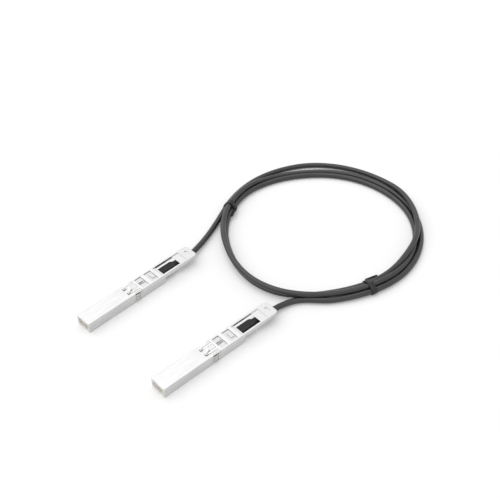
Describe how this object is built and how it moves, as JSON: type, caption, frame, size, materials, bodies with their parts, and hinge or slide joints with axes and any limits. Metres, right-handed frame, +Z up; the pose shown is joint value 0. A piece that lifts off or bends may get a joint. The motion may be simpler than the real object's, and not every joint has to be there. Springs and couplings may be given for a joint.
{
  "type": "direct attach copper cable",
  "caption": "Coiled twinaxial copper cable with a pluggable metal transceiver-style module on each end, each with a sliding pull-to-release frame.",
  "frame": {"origin": "on the floor under the middle of module A's nose edge", "axes": "+Y from module A's nose towards its cable, +Z up out of the release frame's side, +X towards module B"},
  "size_m": [0.1681, 0.2857, 0.0104],
  "materials": {
    "shell": "nickel-plated die casting, satin",
    "spring_steel": "stamped stainless sheet, bright",
    "spring_wire": "drawn spring wire",
    "collar_steel": "bright plated spring strip",
    "card": "solder-masked circuit board",
    "chip": "moulded chip case",
    "gold": "gold plating",
    "anchor": "hot-melt moulding",
    "pair_foil": "foil-wrapped pair",
    "ferrule": "plated, crimped",
    "boot": "moulded elastomer",
    "jacket": "extruded jacket with a soft sheen",
    "screw": "plated",
    "tie": "plastic-covered wire"
  },
  "bodies": {
    "cable": {"base_shell_a": "shell", "cover_shell_a": "shell", "return_spring_a": "spring_wire", "contact_collar_a": "collar_steel", "paddle_card_a": "card", "card_contacts_a": "gold", "memory_chip_a": "chip", "wire_anchor_a": "anchor", "transmit_pair_a": "pair_foil", "receive_pair_a": "pair_foil", "crimp_ferrule_a": "ferrule", "cable_boot_a": "boot", "cable_stub_a": "jacket", "front_screw_a": "screw", "rear_screw_a": "screw", "base_shell_b": "shell", "cover_shell_b": "shell", "return_spring_b": "spring_wire", "contact_collar_b": "collar_steel", "paddle_card_b": "card", "card_contacts_b": "gold", "memory_chip_b": "chip", "wire_anchor_b": "anchor", "transmit_pair_b": "pair_foil", "receive_pair_b": "pair_foil", "crimp_ferrule_b": "ferrule", "cable_boot_b": "boot", "cable_stub_b": "jacket", "front_screw_b": "screw", "rear_screw_b": "screw", "cable_lead_a": "jacket", "cable_lead_b": "jacket", "cable_coil": "jacket", "coil_tie_a": "tie", "coil_tie_b": "tie"},
    "release_a": {"release_frame_a": "spring_steel"},
    "release_b": {"release_frame_b": "spring_steel"}
  },
  "joints": [
    {"name": "release_slide_a", "type": "slide", "parent": "cable", "child": "release_a", "axis": [0, 1, 0], "range_m": [0, 0.0025], "stiffness_N_per_m": 900, "springref_m": -0.001, "deforming": ["return_spring_a"]},
    {"name": "release_slide_b", "type": "slide", "parent": "cable", "child": "release_b", "axis": [0.0501, 0.9987, 0], "range_m": [0, 0.0025], "stiffness_N_per_m": 900, "springref_m": -0.001, "deforming": ["return_spring_b"]}
  ]
}
